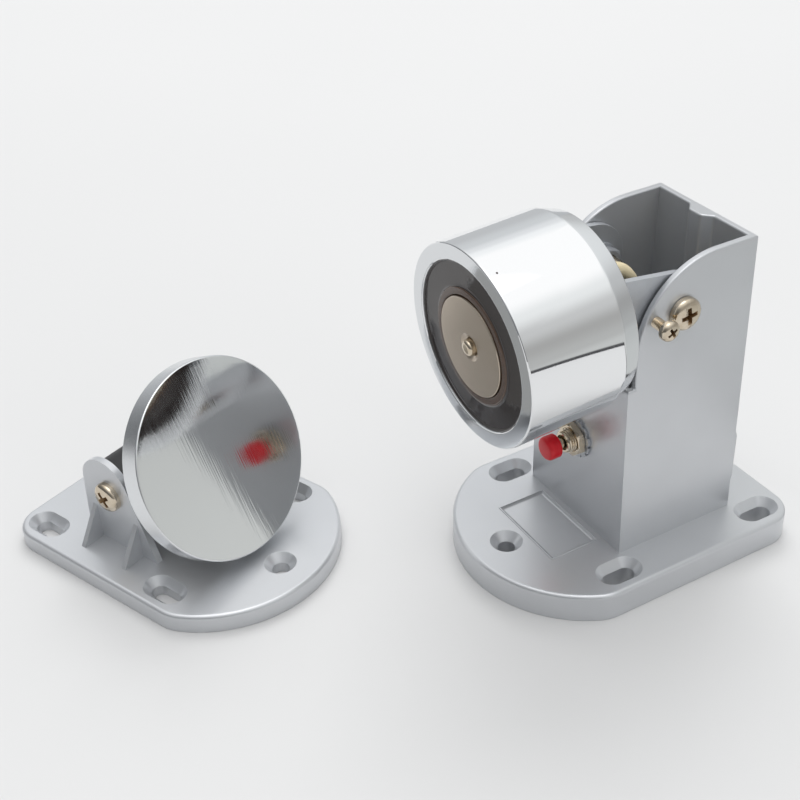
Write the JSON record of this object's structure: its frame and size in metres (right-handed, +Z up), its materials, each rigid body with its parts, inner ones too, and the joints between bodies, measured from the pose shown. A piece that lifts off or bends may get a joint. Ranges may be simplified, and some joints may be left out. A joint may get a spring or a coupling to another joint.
{
  "type": "electromagnetic door holder",
  "caption": "Floor-mounted electromagnet on a hollow column with a release button, with the door-mounted strike plate and tilting armature disc that it holds.",
  "frame": {"origin": "centre of the front screw hole on the underside of the magnet unit's base", "axes": "+Z up from the floor along that hole, -Y the way the magnet faces at rest, +X to the right for someone who looks at the magnet's face"},
  "size_m": [0.1462, 0.1951, 0.1066],
  "materials": {
    "casting": "satin silver-grey paint on a die casting",
    "chrome": "bright chrome plate, the faces finely brushed",
    "core": "dull nickel plate",
    "nickel": "warm nickel plate",
    "zinc_plate": "clear zinc plate",
    "spring": "drawn spring wire",
    "bobbin": "black moulded nylon",
    "resin": "poured dark brown resin",
    "winding": "enamelled copper wire",
    "red_cap": "glossy red moulding",
    "terminal": "off-white moulding",
    "brass": "tinned brass",
    "rubber": "black rubber",
    "lead": "cream cable sheath"
  },
  "bodies": {
    "bases": {"magnet_base": "casting", "rear_cover": "casting", "rear_cover_screws": "nickel", "cable_grommet": "rubber", "pivot_screw_left": "nickel", "pivot_screw_right": "nickel", "pivot_nuts": "zinc_plate", "pivot_washers": "zinc_plate", "locking_screw": "nickel", "button_spring": "spring", "switch_bush": "nickel", "switch_body": "bobbin", "switch_tags": "brass", "switch_lock_washer": "nickel", "switch_nut": "nickel", "terminal_block": "terminal", "terminal_screws": "nickel", "terminal_fixing_screw": "nickel", "magnet_lead": "lead", "strike_base": "casting", "ear_screw_left": "nickel", "ear_screw_right": "nickel"},
    "magnet": {"magnet_pot": "chrome", "magnet_core": "core", "coil_bobbin": "bobbin", "coil_winding": "winding", "potting_resin": "resin", "eject_spring": "spring", "yoke_bracket": "zinc_plate", "yoke_bolt": "zinc_plate", "yoke_washer": "zinc_plate"},
    "eject_pin": {"eject_pin": "core"},
    "button": {"button_cap": "red_cap", "button_stem": "nickel"},
    "strike": {"strike_disc": "chrome", "swivel_block": "bobbin", "disc_bolt": "zinc_plate", "buffer_washer": "rubber"}
  },
  "joints": [
    {"name": "magnet_tilt", "type": "hinge", "parent": "bases", "child": "magnet", "pos_m": [0, 0.0399, 0.0805], "axis": [-1, 0, 0], "range_deg": [-1.5, 93.15], "deforming": ["magnet_lead"]},
    {"name": "eject_pin_slide", "type": "slide", "parent": "magnet", "child": "eject_pin", "axis": [0, 0.9985, 0.055], "range_m": [0, 0.0012], "stiffness_N_per_m": 500, "springref_m": -0.002, "deforming": ["eject_spring"]},
    {"name": "release_button", "type": "slide", "parent": "bases", "child": "button", "axis": [0, 1, 0], "range_m": [0, 0.002], "stiffness_N_per_m": 400, "springref_m": -0.002, "deforming": ["button_spring"]},
    {"name": "strike_tilt", "type": "hinge", "parent": "bases", "child": "strike", "pos_m": [-0.07028, -0.07471, 0.0235], "axis": [0.3907, -0.9205, 0], "range_deg": [0, 66]}
  ]
}
